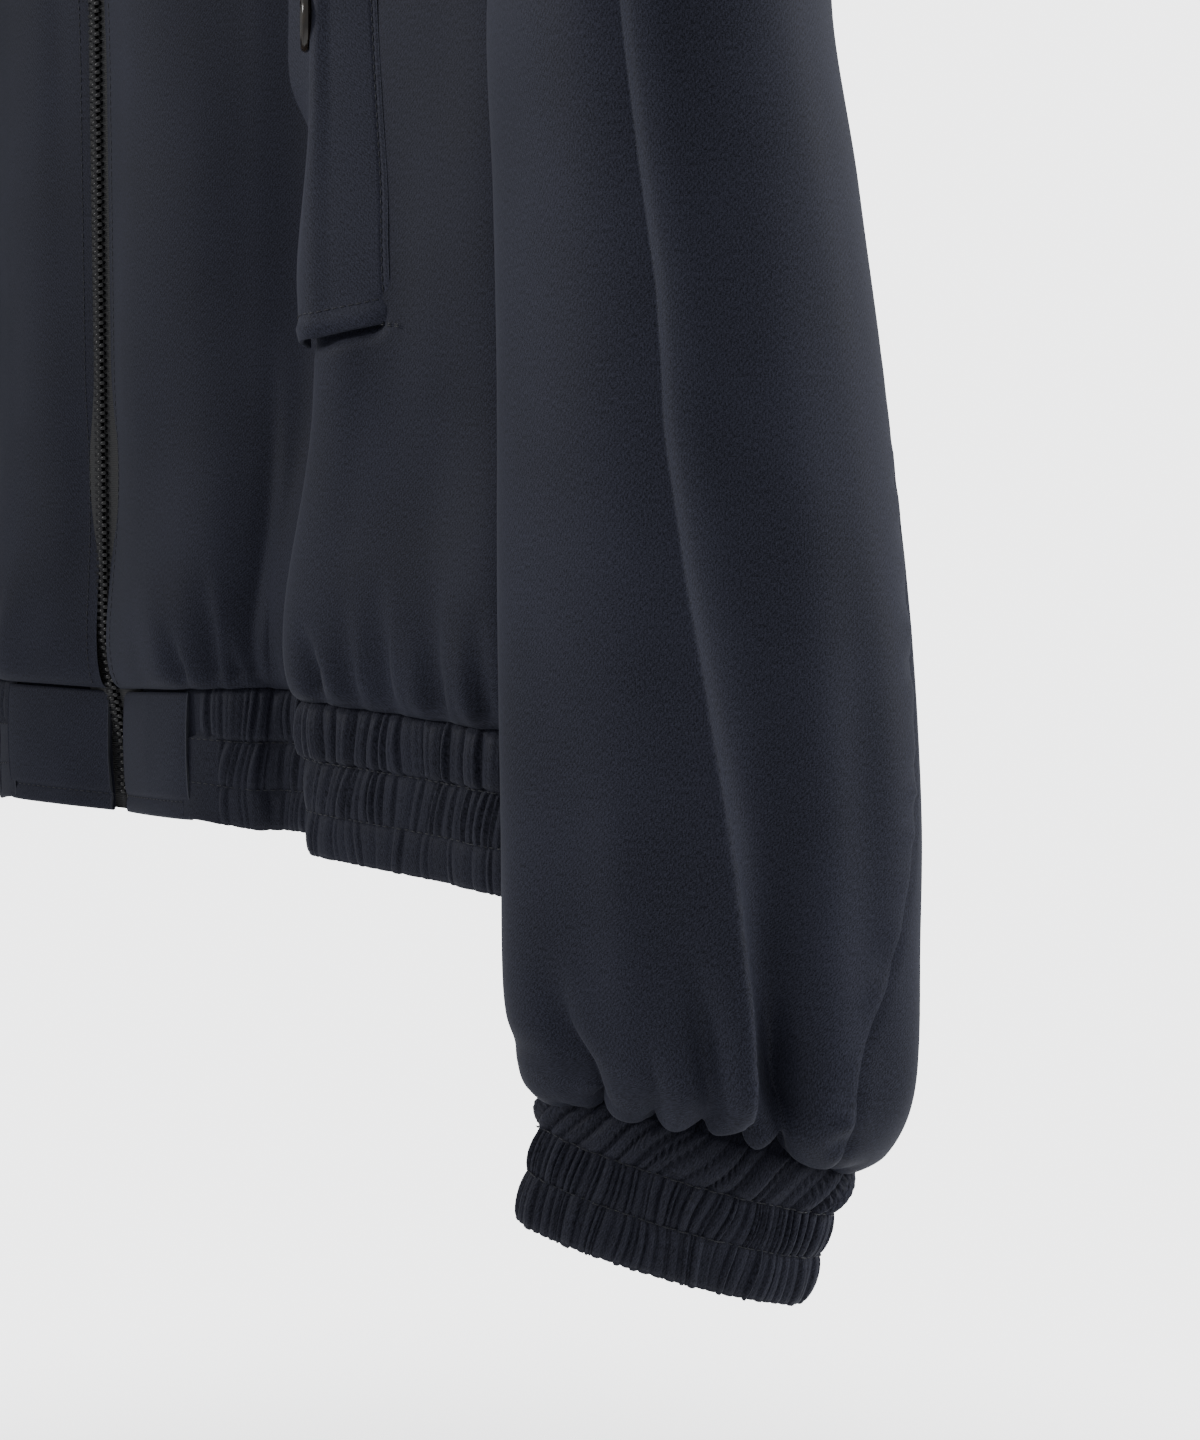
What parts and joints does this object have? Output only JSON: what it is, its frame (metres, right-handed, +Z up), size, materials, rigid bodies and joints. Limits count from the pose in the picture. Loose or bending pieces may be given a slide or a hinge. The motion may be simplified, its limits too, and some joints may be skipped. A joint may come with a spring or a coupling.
{
  "type": "harrington jacket on a hanger",
  "caption": "Zipped short jacket with stand collar, vertical buttoned pocket flaps, full sleeves, gathered cuffs and hem, on a plain hanger.",
  "frame": {"origin": "top of the hook's inner side, where the hook rests on a rail", "axes": "+Z up, -Y out of the jacket's front, +X towards the wearer's left"},
  "size_m": [0.6698, 0.1654, 0.8334],
  "materials": {
    "cloth": "fine twill with a soft sheen",
    "elastic_cloth": "gathered fine twill",
    "zip_tape": "woven tape",
    "button": "gloss",
    "zip_metal": "dark satin",
    "hanger_wood": "satin lacquer",
    "hanger_wire": "satin"
  },
  "bodies": {
    "jacket": {"back": "cloth", "collar": "cloth", "cuff_left": "elastic_cloth", "cuff_right": "elastic_cloth", "flap_button_left": "button", "flap_button_right": "button", "front_left": "cloth", "front_right": "cloth", "hanger_bar": "hanger_wood", "hanger_hook": "hanger_wire", "hem_band": "elastic_cloth", "hem_tab_left": "cloth", "hem_tab_right": "cloth", "pocket_flap_left": "cloth", "pocket_flap_right": "cloth", "under_sleeve_left": "cloth", "under_sleeve_right": "cloth", "upper_sleeve_left": "cloth", "upper_sleeve_right": "cloth", "zip_slider": "zip_metal", "zip_tape_left": "zip_tape", "zip_tape_right": "zip_tape"},
    "pull_tab": {"zip_pull_tab": "zip_metal"}
  },
  "joints": [
    {"name": "pull_tab_swing", "type": "hinge", "parent": "jacket", "child": "pull_tab", "pos_m": [0, -0.07144, -0.1658], "axis": [-1, 0, 0], "range_deg": [0, 150]}
  ]
}
